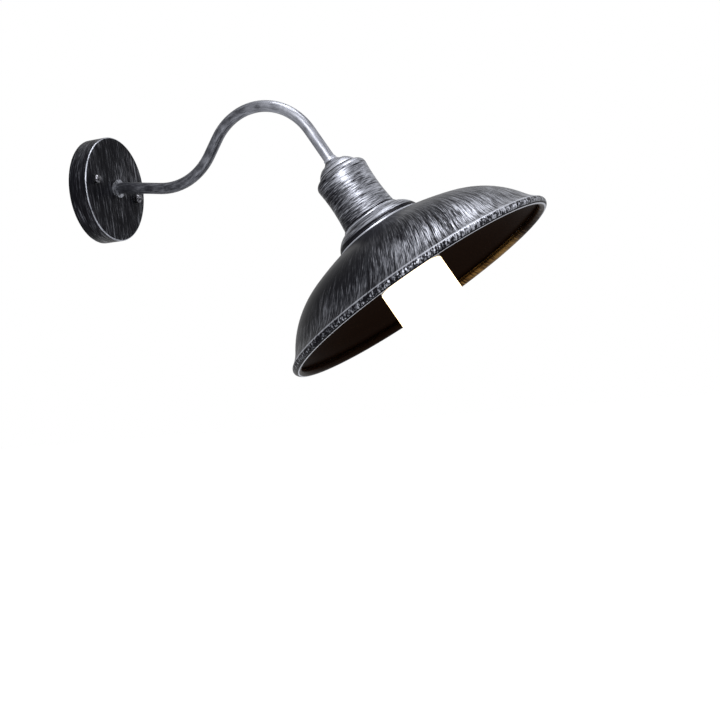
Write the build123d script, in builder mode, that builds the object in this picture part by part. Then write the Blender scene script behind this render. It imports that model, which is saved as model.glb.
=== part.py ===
"""Gooseneck wall sconce, in millimetres.

The origin is on the wall, at the centre of the canopy. The lamp reaches out along -Y, +Z is up
and X = 0 is the plane of the arm. Pieces at the wall are drawn from the wall outwards, and pieces
of the head from the plane of the shade's rim upwards along the shade's own tilted axis.
"""

import os
from math import asin, cos, degrees, radians, sin

from build123d import *

os.makedirs("parts", exist_ok=True)

# ---- driving dimensions: wall side -------------------------------------------------------------
canopy_od = 112.0
canopy_depth = 22.0
canopy_edge_radius = 1.6
sheet = 1.0  # wall of every spun steel piece
screw_line_tilt = 18.0  # degrees that the line of the canopy screws is turned from level
canopy_screw_pitch = 79.0
canopy_screw_d = 4.0
canopy_screw_head_d = 9.6
canopy_screw_head_h = 4.2
canopy_screw_slot = 1.3
spacer_d = 9.0
spacer_h = 1.6
wall_hole_pitch = 50.0
wall_hole_d = 4.5
strap_width = 16.0
strap_thickness = 1.5
strap_lift = 6.0  # how far the strap's ends stand off the wall
strap_hub_d = 44.0
cable_hole_d = 18.0
earth_screw_offset = 15.5
earth_screw_d = 4.0

# ---- driving dimensions: arm -------------------------------------------------------------------
tube_od = 12.0
tube_wall = 0.9
nipple_wall = 1.0
slip_gap = 0.1  # between the tube and the threaded nipple inside it
running_gap = 0.3
collar_wall = 1.3
collar_flange_w = 2.45
collar_boss_h = 4.0
collar_flange_h = 1.1
collar_recess = 2.6
arm_out = 33.0  # from the wall to the first bend
droop = 8.8  # degrees below level after the first bend
droop_length = 85.4  # from the first bend's corner to the second's
rise = 52.3  # degrees above level after the second bend
droop_bend = 30.0
rise_bend = 68.0
top_bend = 64.0
reach = 358.0  # from the wall to the centre of the shade's rim
drop = 148.4  # from the arm's root down to the centre of the shade's rim
tilt = 29.1  # degrees of the shade's axis from upright
nut_wall = 2.0  # from the nipple to a flat
nut_h = 3.0
washer_w = 3.5
washer_h = 0.8
wire_d = 2.0
wire_offset = 1.5  # of each lead from the middle of the tube

# ---- driving dimensions: shade, measured up from the rim's plane -------------------------------
shade_od = 300.0
bead_radius = 4.3
bead_seam = 53.0  # degrees round the rolled bead where the flare runs into it
flare_slope = 36.0
flare_radius = 39.4
side_slope = 58.0
bowl_radius = 100.8
shoulder_slope = 22.0
shoulder_radius = 371.0
crown_radius = 47.0
fitter_inset = 0.8  # of the stepped ring's lip inside the crown
fitter_h = 16.3
fitter_spigot_h = 4.7
fitter_step = 0.5  # of the stepped ring outside the cup's lip
cup_lip_radius = 29.3
cup_lip_bead = 1.6
cup_waist_radius = 27.2
cup_shoulder_radius = 28.1
cup_top_radius = 22.6
cup_h = 59.0
neck_cap_inset = 1.2
neck_cap_h = 16.0
spout_wall = 0.8

# ---- driving dimensions: lampholder and bulb ---------------------------------------------------
holder_radius = 19.6
holder_wall = 2.3
holder_below_crown = 7.0
holder_flange_w = 4.4
holder_flange_h = 2.6
holder_skirt_h = 27.0  # above the crown
holder_cap_h = 30.0
shade_ring_w = 6.4
shade_ring_h = 5.0
contact_above_crown = 31.5  # height of the bulb's end contact over the crown
shell_gap = 0.5
shell_wall = 0.4
bulb_od = 70.0
bulb_length = 139.0
bulb_corner = 13.0
dome_slope = 14.0  # degrees of the diffuser's end where its rounded corner stops
bulb_wall = 1.2
tip_flat = 1.0  # small flat at the middle of the bulb's two ends
cap_radius = 13.2
cap_h = 26.0
thread_pitch = 3.6
housing_neck_radius = 15.2
housing_h = 60.0
led_count = 28

# ---- sizes that follow from these -------------------------------------------------------------
tube_bore = tube_od - 2 * tube_wall
nipple_od = tube_bore - 2 * slip_gap
nipple_bore = nipple_od - 2 * nipple_wall
collar_boss_d = tube_od + 2 * collar_wall
collar_flange_d = collar_boss_d + 2 * collar_flange_w
nut_flats = nipple_od + 2 * nut_wall
washer_d = nipple_od + 2 * washer_w
fitter_radius = crown_radius - fitter_inset
fitter_top_radius = cup_lip_radius + cup_lip_bead + fitter_step
neck_cap_radius = cup_top_radius - neck_cap_inset
holder_flange_radius = holder_radius + holder_flange_w
shade_ring_radius = holder_radius + shade_ring_w
lamp_bore_radius = cap_radius + shell_gap

# ---- frames ------------------------------------------------------------------------------------
line_tilt = radians(screw_line_tilt)
screw_line = Vector(cos(line_tilt), 0, -sin(line_tilt))
wall_face = Plane(origin=(0, 0, 0), x_dir=screw_line, z_dir=(0, -1, 0))
wall_section = Plane(origin=(0, 0, 0), x_dir=(1, 0, 0), z_dir=(0, 0, -1))
strap_section = Plane(
    origin=(0, 0, 0), x_dir=screw_line, z_dir=(-sin(line_tilt), 0, -cos(line_tilt))
)
wall_axis = Axis((0, 0, 0), (0, -1, 0))

lean = radians(tilt)
rim_centre = Vector(0, -reach, -drop)
head_up = Vector(0, sin(lean), cos(lean))
head_section = Plane(origin=rim_centre, x_dir=(1, 0, 0), z_dir=(0, -cos(lean), sin(lean)))
head_axis = Axis(rim_centre, head_up)


def head_plane(height):
    """Plane across the shade's axis at a height above the rim's plane."""
    return Plane(origin=rim_centre + head_up * height, x_dir=(1, 0, 0), z_dir=head_up)


def head_point(x, height):
    """Point in the head's own section, at a distance to the side and a height above the rim."""
    return rim_centre + Vector(x, 0, 0) + head_up * height


# ---- heights up the head -----------------------------------------------------------------------
flare, side, shoulder = radians(flare_slope), radians(side_slope), radians(shoulder_slope)
bead_centre = Vector(shade_od / 2 - bead_radius, bead_radius)
seam = bead_centre + Vector(cos(radians(bead_seam)), sin(radians(bead_seam))) * bead_radius
side_radius = seam.X - flare_radius * (sin(side) - sin(flare))
side_height = seam.Y + flare_radius * (cos(flare) - cos(side))
bowl_top_radius = side_radius - bowl_radius * (sin(side) - sin(shoulder))
bowl_top_height = side_height + bowl_radius * (cos(shoulder) - cos(side))
crown_slope = asin(sin(shoulder) - (bowl_top_radius - crown_radius) / shoulder_radius)
crown_height = bowl_top_height + shoulder_radius * (cos(crown_slope) - cos(shoulder))

fitter_top = crown_height + fitter_h
cup_top = fitter_top + cup_h
neck_cap_top = cup_top + neck_cap_h
tube_end = neck_cap_top - 6.0
holder_bottom = crown_height - holder_below_crown
holder_split = crown_height + holder_skirt_h
holder_top = holder_split + holder_cap_h
boss_h = 6.0
nipple_end = holder_top - boss_h - 2.0
contact_tip = crown_height + contact_above_crown
bulb_tip = contact_tip - bulb_length
cap_bottom = contact_tip - cap_h

# ---- route of the arm --------------------------------------------------------------------------
second_out = arm_out + droop_length * cos(radians(droop))
second_up = -droop_length * sin(radians(droop))
axis_height = (
    sin(radians(rise)) * (reach - second_out) + cos(radians(rise)) * (drop + second_up)
) / cos(radians(rise) - lean)
arm_bends = (droop_bend, rise_bend, top_bend)


def arm_corners(x):
    """The three corners of the arm's route, moved to one side by x."""
    third = head_point(x, axis_height)
    return [(x, -arm_out, 0), (x, -second_out, second_up), third]


# ---- wall bracket and earth point --------------------------------------------------------------
strap_half = canopy_screw_pitch / 2 + 7.0
bend_inner = wall_hole_pitch / 2 + 6.0
bend_outer = bend_inner + strap_lift
with BuildPart() as wall_bracket:
    with BuildSketch(strap_section):
        with BuildLine():
            upper = [
                (0, strap_thickness),
                (bend_inner, strap_thickness),
                (bend_outer, strap_lift + strap_thickness),
                (strap_half, strap_lift + strap_thickness),
                (strap_half, strap_lift),
                (bend_outer + 0.7, strap_lift),
                (bend_inner + 0.7, 0),
                (0, 0),
            ]
            Polyline(*upper, close=True)
        make_face()
        mirror(about=Plane.YZ)
    extrude(amount=strap_width / 2, both=True)
    with BuildSketch(wall_face):
        Circle(strap_hub_d / 2)
    extrude(amount=strap_thickness)
    with BuildSketch(wall_face):
        Circle(cable_hole_d / 2)
        with Locations((-wall_hole_pitch / 2, 0), (wall_hole_pitch / 2, 0)):
            Circle(wall_hole_d / 2)
        with Locations((-canopy_screw_pitch / 2, 0), (canopy_screw_pitch / 2, 0)):
            Circle(canopy_screw_d / 2)
        with Locations((0, earth_screw_offset)):
            Circle(earth_screw_d / 2)
    extrude(amount=strap_lift + 2 * strap_thickness, mode=Mode.SUBTRACT)

earth_washer_h = 1.0
with BuildPart() as earth_washer:
    with BuildSketch(wall_face.offset(strap_thickness)):
        with Locations((0, earth_screw_offset)):
            RectangleRounded(9.0, 9.0, 1.0)
            Circle(earth_screw_d / 2 + 0.1, mode=Mode.SUBTRACT)
    extrude(amount=earth_washer_h)

earth_head_h = 2.4
with BuildPart() as earth_screw:
    with BuildSketch(wall_face):
        with Locations((0, earth_screw_offset)):
            Circle(earth_screw_d / 2)
    extrude(amount=strap_thickness + earth_washer_h)
    with BuildSketch(wall_face.offset(strap_thickness + earth_washer_h)):
        with Locations((0, earth_screw_offset)):
            Circle(3.8)
    extrude(amount=earth_head_h)
    fillet(earth_screw.faces().sort_by(wall_axis)[-1].edges(), 0.8)
    with BuildSketch(wall_face.offset(strap_thickness + earth_washer_h + earth_head_h)):
        with Locations((0, earth_screw_offset)):
            Rectangle(9.0, 1.0)
            Rectangle(1.0, 9.0)
    extrude(amount=-1.1, mode=Mode.SUBTRACT)

# ---- canopy and its screws ---------------------------------------------------------------------
canopy_radius = canopy_od / 2
with BuildPart() as canopy:
    with BuildSketch(wall_section):
        with BuildLine():
            Polyline(
                (nipple_od / 2 + running_gap, canopy_depth),
                (canopy_radius, canopy_depth),
                (canopy_radius, 0),
                (canopy_radius - sheet, 0),
                (canopy_radius - sheet, canopy_depth - sheet),
                (nipple_od / 2 + running_gap, canopy_depth - sheet),
                close=True,
            )
        make_face()
    revolve(axis=wall_axis)
    rim_edges = canopy.edges().filter_by(GeomType.CIRCLE).sort_by(SortBy.RADIUS)
    front_edge = rim_edges.filter_by(lambda edge: edge.radius > canopy_radius - 0.1)
    fillet(front_edge.sort_by(wall_axis)[-1], min(canopy_edge_radius, canopy_depth / 4))
    with BuildSketch(wall_face.offset(canopy_depth)):
        with Locations((-canopy_screw_pitch / 2, 0), (canopy_screw_pitch / 2, 0)):
            Circle(canopy_screw_d / 2 + running_gap)
    extrude(amount=-2 * sheet, mode=Mode.SUBTRACT)

with BuildPart() as canopy_screw_washers:
    with BuildSketch(wall_face.offset(canopy_depth)):
        with Locations((-canopy_screw_pitch / 2, 0), (canopy_screw_pitch / 2, 0)):
            Circle(spacer_d / 2)
            Circle(canopy_screw_d / 2 + 0.1, mode=Mode.SUBTRACT)
    extrude(amount=spacer_h)

neck_h = 0.8
head_base = canopy_depth + spacer_h
head_radius = canopy_screw_head_d / 2
with BuildPart() as canopy_screws:
    for side_sign in (-1, 1):
        place = screw_line * (side_sign * canopy_screw_pitch / 2)
        section = Plane(origin=place, x_dir=(1, 0, 0), z_dir=(0, 0, -1))
        with BuildSketch(section):
            with BuildLine():
                Polyline(
                    (0, head_base + neck_h + canopy_screw_head_h),
                    (0, strap_lift - 1.0),
                    (canopy_screw_d / 2, strap_lift - 1.0),
                    (canopy_screw_d / 2, head_base),
                    (head_radius * 0.68, head_base),
                    (head_radius * 0.68, head_base + neck_h),
                    (head_radius, head_base + neck_h),
                    (head_radius, head_base + neck_h + 1.0),
                )
                ThreePointArc(
                    (head_radius, head_base + neck_h + 1.0),
                    (head_radius * 0.72, head_base + neck_h + 0.8 * canopy_screw_head_h),
                    (0, head_base + neck_h + canopy_screw_head_h),
                )
            make_face()
        revolve(axis=Axis(place, (0, -1, 0)))
    with BuildSketch(wall_face.offset(head_base + neck_h + canopy_screw_head_h)):
        with Locations((-canopy_screw_pitch / 2, 0), (canopy_screw_pitch / 2, 0)):
            Rectangle(canopy_screw_slot, 2 * canopy_screw_head_d, rotation=35)
    extrude(amount=-2.2, mode=Mode.SUBTRACT)

# ---- arm root: collar, nipple, toothed washer and locknut --------------------------------------
tube_start = canopy_depth + collar_boss_h + collar_flange_h - collar_recess
with BuildPart() as arm_collar:
    with BuildSketch(wall_section):
        with BuildLine():
            Polyline(
                (nipple_od / 2 + 0.05, canopy_depth),
                (collar_boss_d / 2, canopy_depth),
                (collar_boss_d / 2, canopy_depth + collar_boss_h),
                (collar_flange_d / 2, canopy_depth + collar_boss_h),
                (collar_flange_d / 2, canopy_depth + collar_boss_h + collar_flange_h),
                (tube_od / 2 + 0.05, canopy_depth + collar_boss_h + collar_flange_h),
                (tube_od / 2 + 0.05, tube_start),
                (nipple_od / 2 + 0.05, tube_start),
                close=True,
            )
        make_face()
    revolve(axis=wall_axis)

nipple_root = canopy_depth - 7.0
nipple_in_tube = arm_out - 2.5
with BuildPart() as wall_nipple:
    with BuildSketch(Plane(origin=(0, -nipple_root, 0), x_dir=(1, 0, 0), z_dir=(0, -1, 0))):
        Circle(nipple_od / 2)
        Circle(nipple_bore / 2, mode=Mode.SUBTRACT)
    extrude(amount=nipple_in_tube - nipple_root)

tooth_count = 12
canopy_back = canopy_depth - sheet
with BuildPart() as lock_washer:
    with BuildSketch(Plane(origin=(0, -canopy_back, 0), x_dir=(1, 0, 0), z_dir=(0, 1, 0))):
        Circle(washer_d / 2)
        Circle(nipple_od / 2 + 0.1, mode=Mode.SUBTRACT)
        with PolarLocations(washer_d / 2, tooth_count):
            Rectangle(2.6, 1.6, mode=Mode.SUBTRACT)
    extrude(amount=washer_h)

with BuildPart() as arm_locknut:
    with BuildSketch(
        Plane(origin=(0, -canopy_back + washer_h, 0), x_dir=(1, 0, 0), z_dir=(0, 1, 0))
    ):
        RegularPolygon(nut_flats / 2, 6, major_radius=False)
        Circle(nipple_od / 2 + 0.02, mode=Mode.SUBTRACT)
    extrude(amount=nut_h)

# ---- gooseneck tube ----------------------------------------------------------------------------
with BuildPart() as arm_tube:
    with BuildLine() as tube_route:
        FilletPolyline(
            (0, -tube_start, 0), *arm_corners(0), head_point(0, tube_end), radius=arm_bends
        )
    with BuildSketch(Plane(origin=(0, -tube_start, 0), x_dir=(1, 0, 0), z_dir=(0, -1, 0))):
        Circle(tube_od / 2)
        Circle(tube_bore / 2, mode=Mode.SUBTRACT)
    sweep(path=tube_route.wire())

# ---- terminal block on the lamp's leads --------------------------------------------------------
block_w, block_l, block_t = 17.0, 17.0, 11.0
block_out = 12.0  # of the block's middle from the wall
block_down = 23.5
pole_pitch = 8.4
pole_bore = 3.2
block_middle = Plane(
    origin=(0, -block_out, -block_down), x_dir=(1, 0, 0), z_dir=(0, -1, 0)
)
block_top = Plane(
    origin=(0, -block_out, -block_down + block_l / 2), x_dir=(1, 0, 0), z_dir=(0, 0, 1)
)
pole_places = [(-pole_pitch / 2, 0), (pole_pitch / 2, 0)]
screw_places = [(x, y) for x, _ in pole_places for y in (-4.5, 4.5)]
with BuildPart() as terminal_block:
    with BuildSketch(block_middle.offset(-block_t / 2)):
        RectangleRounded(block_w, block_l, 1.5)
    extrude(amount=block_t)
    with BuildSketch(block_top):
        with Locations(*pole_places):
            Circle(pole_bore / 2 + 0.7)
    extrude(amount=-block_l, mode=Mode.SUBTRACT)
    with BuildSketch(block_middle):
        with Locations(*screw_places):
            Circle(2.0)
    extrude(amount=block_t / 2, mode=Mode.SUBTRACT)

with BuildPart() as terminal_tubes:
    with BuildSketch(block_top.offset(-1.5)):
        with Locations(*pole_places):
            Circle(pole_bore / 2 + 0.65)
            Circle(pole_bore / 2, mode=Mode.SUBTRACT)
    extrude(amount=-(block_l - 3.0))
    with BuildSketch(block_middle):
        with Locations(*screw_places):
            Circle(1.3)
    extrude(amount=pole_bore, mode=Mode.SUBTRACT)

with BuildPart() as terminal_block_screws:
    with BuildSketch(block_middle.offset(wire_d / 2)):
        with Locations(*screw_places):
            Circle(1.2)
    extrude(amount=block_t / 2 - wire_d / 2 - 1.6)
    with BuildSketch(block_middle.offset(block_t / 2 - 2.2)):
        with Locations(*screw_places):
            Circle(1.9)
    extrude(amount=1.4)
    with BuildSketch(block_middle.offset(block_t / 2 - 0.8)):
        with Locations(*screw_places):
            Rectangle(4.2, 0.7)
    extrude(amount=-0.7, mode=Mode.SUBTRACT)

# ---- leads, through the arm from the terminal block to the lampholder --------------------------
terminal_x = 9.0
core_top = holder_split + 11.5
wire_rest = core_top + wire_d / 2 + 0.4
wire_stop = terminal_x - 1.7
block_entry = -block_down + block_l / 2
lead_bend = 3.5


def lead_corners(side_sign):
    """Corners of one lead's route, from inside the block to the lampholder's terminal."""
    x = side_sign * wire_offset
    pole_x = side_sign * pole_pitch / 2
    return [
        (pole_x, -block_out, -block_down),
        (pole_x, -block_out, block_entry + 2.5),
        (x, -block_out, -wire_d - 4.5),
        (x, -block_out, 0),
        *arm_corners(x),
        head_point(x, nipple_end - 2.0),
        head_point(side_sign * (wire_stop - 2.2), wire_rest),
        head_point(side_sign * wire_stop, wire_rest),
    ]


lead_bends = (lead_bend, lead_bend, lead_bend, *arm_bends, lead_bend, 2.0)
lead_start = Plane(
    origin=(0, -block_out, -block_down), x_dir=(1, 0, 0), z_dir=(0, 0, 1)
)
with BuildPart() as live_wire:
    with BuildLine() as live_route:
        FilletPolyline(*lead_corners(-1), radius=lead_bends)
    with BuildSketch(lead_start):
        with Locations((-pole_pitch / 2, 0)):
            Circle(wire_d / 2)
    sweep(path=live_route.wire())

with BuildPart() as neutral_wire:
    with BuildLine() as neutral_route:
        FilletPolyline(*lead_corners(1), radius=lead_bends)
    with BuildSketch(lead_start):
        with Locations((pole_pitch / 2, 0)):
            Circle(wire_d / 2)
    sweep(path=neutral_route.wire())

# ---- neck cap, cup and the nipple that clamps them ---------------------------------------------
spout_radius = tube_od / 2 + spout_wall
cap_waist = (14.6, cup_top + 8.5)
with BuildPart() as neck_cap:
    with BuildSketch(head_section):
        with BuildLine():
            ThreePointArc(
                (neck_cap_radius, cup_top + 0.7), (18.9, cup_top + 4.5), cap_waist
            )
            ThreePointArc(
                cap_waist, (9.6, cup_top + 10.9), (spout_radius, neck_cap_top - 2.4)
            )
            Polyline(
                (spout_radius, neck_cap_top - 2.4),
                (spout_radius, neck_cap_top),
                (tube_od / 2 + 0.05, neck_cap_top),
                (tube_od / 2 + 0.05, tube_end),
                (nipple_od / 2 + 0.05, tube_end),
                (nipple_od / 2 + 0.05, cup_top),
                (9.0, cup_top),
                (9.0, tube_end - 3.2),
                (11.5, tube_end - 3.2),
                (neck_cap_radius - 2.0, cup_top + 0.6),
                (neck_cap_radius - 2.0, cup_top),
                (neck_cap_radius, cup_top),
                (neck_cap_radius, cup_top + 0.7),
            )
        make_face()
    revolve(axis=head_axis)

cup_lip_height = fitter_top + 2.2
cup_waist_height = fitter_top + cup_h * 0.42
cup_shoulder_height = cup_top - 8.0
with BuildPart() as socket_cup:
    with BuildSketch(head_section):
        with BuildLine():
            Line((nipple_od / 2 + running_gap, cup_top), (cup_top_radius, cup_top))
            ThreePointArc(
                (cup_top_radius, cup_top),
                (cup_top_radius + 4.0, cup_top - 2.6),
                (cup_shoulder_radius, cup_shoulder_height),
            )
            ThreePointArc(
                (cup_shoulder_radius, cup_shoulder_height),
                (cup_waist_radius, cup_waist_height),
                (cup_lip_radius, cup_lip_height),
            )
            Line((cup_lip_radius, cup_lip_height), (cup_lip_radius, fitter_top))
            offset(amount=-sheet, side=Side.RIGHT)
        make_face()
        with BuildLine():
            lip = cup_lip_radius - sheet / 2
            Polyline(
                (lip, fitter_top),
                (cup_lip_radius + cup_lip_bead, fitter_top),
                (cup_lip_radius + cup_lip_bead, fitter_top + 1.4),
                (cup_lip_radius + cup_lip_bead * 0.6, cup_lip_height),
                (lip, cup_lip_height),
                close=True,
            )
        make_face()
    revolve(axis=head_axis)

nipple_above = neck_cap_top + 8.0
with BuildPart() as head_nipple:
    with BuildSketch(head_plane(nipple_end)):
        Circle(nipple_od / 2)
        Circle(nipple_bore / 2, mode=Mode.SUBTRACT)
    extrude(amount=nipple_above - nipple_end)

with BuildPart() as head_locknut:
    with BuildSketch(head_plane(cup_top - sheet - nut_h)):
        RegularPolygon(nut_flats / 2, 6, major_radius=False)
        Circle(nipple_od / 2 + 0.02, mode=Mode.SUBTRACT)
    extrude(amount=nut_h)

# ---- stepped ring and dome ---------------------------------------------------------------------
spigot_radius = cup_waist_radius - sheet - running_gap
spigot_top = fitter_top + fitter_spigot_h
fitter_lip = crown_height + 1.5
fitter_bulge = (fitter_radius - 4.4, crown_height + fitter_h * 0.56)
with BuildPart() as shade_fitter:
    with BuildSketch(head_section):
        with BuildLine():
            ThreePointArc(
                (fitter_radius, fitter_lip), fitter_bulge, (fitter_top_radius, fitter_top)
            )
            Polyline(
                (fitter_top_radius, fitter_top),
                (spigot_radius, fitter_top),
                (spigot_radius, spigot_top),
                (spigot_radius - sheet, spigot_top),
                (spigot_radius - sheet, fitter_top - sheet),
                (fitter_top_radius - sheet / 2, fitter_top - sheet),
            )
            ThreePointArc(
                (fitter_top_radius - sheet / 2, fitter_top - sheet),
                (fitter_bulge[0] - 0.8 * sheet, fitter_bulge[1] - 0.6 * sheet),
                (fitter_radius - sheet, fitter_lip),
            )
            Polyline(
                (fitter_radius - sheet, fitter_lip),
                (fitter_radius - sheet, crown_height),
                (fitter_radius, crown_height),
                (fitter_radius, fitter_lip),
            )
        make_face()
    revolve(axis=head_axis)

crown_hole = holder_radius + 0.6
with BuildPart() as shade:
    with BuildSketch(head_section):
        with BuildLine():
            flare_arc = JernArc(
                start=(seam.X, seam.Y),
                tangent=(-cos(flare), sin(flare)),
                radius=flare_radius,
                arc_size=flare_slope - side_slope,
            )
            bowl_arc = JernArc(
                start=flare_arc @ 1,
                tangent=flare_arc % 1,
                radius=bowl_radius,
                arc_size=side_slope - shoulder_slope,
            )
            shoulder_arc = JernArc(
                start=bowl_arc @ 1,
                tangent=bowl_arc % 1,
                radius=shoulder_radius,
                arc_size=shoulder_slope - degrees(crown_slope),
            )
            Line(shoulder_arc @ 1, (crown_hole, crown_height))
            offset(amount=sheet, side=Side.LEFT)
        make_face()
        with Locations((bead_centre.X, bead_centre.Y)):
            Circle(bead_radius)
            Circle(bead_radius - sheet, mode=Mode.SUBTRACT)
        with Locations((bead_centre.X - bead_radius, bead_centre.Y + bead_radius * 0.62)):
            Rectangle(bead_radius, 1.2, mode=Mode.SUBTRACT)
    revolve(axis=head_axis)

# ---- lampholder --------------------------------------------------------------------------------
skirt_bore = holder_radius - holder_wall
with BuildPart() as lampholder_skirt:
    with BuildSketch(head_section):
        with BuildLine():
            Polyline(
                (skirt_bore, holder_bottom),
                (holder_radius, holder_bottom),
                (holder_radius, crown_height),
                (holder_flange_radius, crown_height),
                (holder_flange_radius, crown_height + holder_flange_h),
                (holder_radius, crown_height + holder_flange_h),
                (holder_radius, holder_split),
                (skirt_bore, holder_split),
                close=True,
            )
        make_face()
    revolve(axis=head_axis)

notch_count = 16
with BuildPart() as shade_ring:
    with BuildSketch(head_plane(crown_height - sheet - shade_ring_h)):
        Circle(shade_ring_radius)
        Circle(holder_radius + 0.1, mode=Mode.SUBTRACT)
        with PolarLocations(shade_ring_radius, notch_count):
            Rectangle(2.4, 3.0, mode=Mode.SUBTRACT)
    extrude(amount=shade_ring_h)

sleeve_bottom = contact_tip - 14.0
core_bottom = contact_tip + 1.9
sleeve_bore = lamp_bore_radius + shell_wall + 0.05
with BuildPart() as lampholder_core:
    with BuildSketch(head_section):
        with BuildLine():
            Polyline(
                (0, core_bottom),
                (sleeve_bore, core_bottom),
                (sleeve_bore, sleeve_bottom),
                (skirt_bore - 0.1, sleeve_bottom),
                (skirt_bore - 0.1, core_top),
                (0, core_top),
                close=True,
            )
        make_face()
    revolve(axis=head_axis)
    with BuildSketch(head_plane(core_top)):
        with Locations((-terminal_x, 0), (terminal_x, 0)):
            Circle(1.55)
    extrude(amount=core_bottom - core_top, mode=Mode.SUBTRACT)

holder_crown_radius = 9.5
with BuildPart() as lampholder_cap:
    with BuildSketch(head_section):
        with BuildLine():
            Polyline(
                (skirt_bore, holder_split),
                (holder_radius, holder_split),
                (holder_radius, holder_split + 17.0),
                (holder_crown_radius, holder_top - boss_h),
                (holder_crown_radius, holder_top),
                (nipple_od / 2 + 0.02, holder_top),
                (nipple_od / 2 + 0.02, holder_top - boss_h - 1.0),
                (skirt_bore, holder_split + 15.5),
                close=True,
            )
        make_face()
    revolve(axis=head_axis)
    with BuildSketch(Plane(head_point(0, holder_top - boss_h / 2), x_dir=head_up, z_dir=(1, 0, 0))):
        Circle(1.55)
    extrude(amount=holder_radius, mode=Mode.SUBTRACT)

with BuildPart() as lampholder_grub_screw:
    grub_start = head_point(nipple_od / 2, holder_top - boss_h / 2)
    with BuildSketch(Plane(grub_start, x_dir=head_up, z_dir=(1, 0, 0))):
        Circle(1.5)
    extrude(amount=holder_crown_radius - nipple_od / 2 - 0.2)
    with BuildSketch(Plane(grub_start, x_dir=head_up, z_dir=(1, 0, 0)).offset(4.3)):
        Rectangle(3.2, 0.6)
    extrude(amount=-0.8, mode=Mode.SUBTRACT)

tab_h = 0.6
shell_top = core_bottom - 3.0
with BuildPart() as lamp_shell:
    with BuildSketch(head_plane(cap_bottom + 1.0)):
        Circle(lamp_bore_radius + shell_wall)
        Circle(lamp_bore_radius, mode=Mode.SUBTRACT)
    extrude(amount=core_bottom - cap_bottom - 1.0)
    with BuildSketch(head_plane(shell_top)):
        with Locations((-terminal_x, 0)):
            Rectangle(4 * terminal_x - 4.0, 3 * lamp_bore_radius)
        with Locations((terminal_x, lamp_bore_radius), (terminal_x, -lamp_bore_radius)):
            Rectangle(3 * terminal_x, 2 * lamp_bore_radius - 8.0)
    extrude(amount=core_bottom - shell_top, mode=Mode.SUBTRACT)
    with BuildSketch(head_plane(core_bottom - tab_h)):
        with Locations(((lamp_bore_radius + terminal_x - 2.6) / 2, 0)):
            Rectangle(lamp_bore_radius - terminal_x + 2.8, 6.0)
        with Locations((terminal_x, 0)):
            Circle(1.52, mode=Mode.SUBTRACT)
    extrude(amount=tab_h)

with BuildPart() as centre_contact:
    with BuildSketch(head_plane(core_bottom - tab_h)):
        with Locations((-terminal_x / 2 + 0.5, 0)):
            Rectangle(terminal_x + 6.0, 5.0)
        with Locations((-terminal_x, 0)):
            Circle(1.52, mode=Mode.SUBTRACT)
    extrude(amount=tab_h)
    with BuildSketch(head_plane(contact_tip + 0.3)):
        Circle(2.6)
    extrude(amount=core_bottom - tab_h - contact_tip - 0.3)
    fillet(centre_contact.faces().sort_by(head_axis)[0].edges(), 0.4)

with BuildPart() as lampholder_terminal_screws:
    with BuildSketch(head_plane(core_bottom - tab_h / 2)):
        with Locations((-terminal_x, 0), (terminal_x, 0)):
            Circle(1.5)
    extrude(amount=wire_rest + wire_d / 2 - core_bottom + tab_h / 2)
    with BuildSketch(head_plane(wire_rest + wire_d / 2)):
        with Locations((-terminal_x, 0), (terminal_x, 0)):
            Circle(2.7)
    extrude(amount=1.6)
    with BuildSketch(head_plane(wire_rest + wire_d / 2 + 1.6)):
        with Locations((-terminal_x, 0), (terminal_x, 0)):
            Rectangle(5.6, 0.7)
    extrude(amount=-0.8, mode=Mode.SUBTRACT)

# ---- bulb --------------------------------------------------------------------------------------
bulb_radius = bulb_od / 2
thread_start = cap_bottom + 2.2
thread_turns = 5
with BuildPart() as bulb_cap:
    with BuildSketch(head_section):
        with BuildLine():
            for turn in range(thread_turns):
                foot = thread_start + turn * thread_pitch
                ThreePointArc(
                    (cap_radius - 0.9, foot),
                    (cap_radius, foot + thread_pitch / 2),
                    (cap_radius - 0.9, foot + thread_pitch),
                )
            thread_end = thread_start + thread_turns * thread_pitch
            Polyline(
                (cap_radius - 0.9, thread_end),
                (cap_radius - 2.0, thread_end),
                (cap_radius - 2.0, cap_bottom),
                (cap_radius, cap_bottom),
                (cap_radius, thread_start),
                (cap_radius - 0.9, thread_start),
            )
        make_face()
    revolve(axis=head_axis)

contact_radius = 4.8
contact_base = contact_tip - 1.6
with BuildPart() as bulb_cap_insulator:
    with BuildSketch(head_section):
        with BuildLine():
            Polyline(
                (0, thread_end - 1.0),
                (cap_radius - 2.1, thread_end - 1.0),
                (cap_radius - 2.1, thread_end + 0.6),
                (contact_radius + 0.6, contact_base),
                (0, contact_base),
                close=True,
            )
        make_face()
    revolve(axis=head_axis)

with BuildPart() as bulb_cap_contact:
    with BuildSketch(head_section):
        with BuildLine():
            ThreePointArc(
                (contact_radius, contact_base),
                (contact_radius * 0.7, contact_base + 1.2),
                (tip_flat, contact_tip),
            )
            Polyline(
                (tip_flat, contact_tip),
                (0, contact_tip),
                (0, contact_base),
                (contact_radius, contact_base),
            )
        make_face()
    revolve(axis=head_axis)

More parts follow.
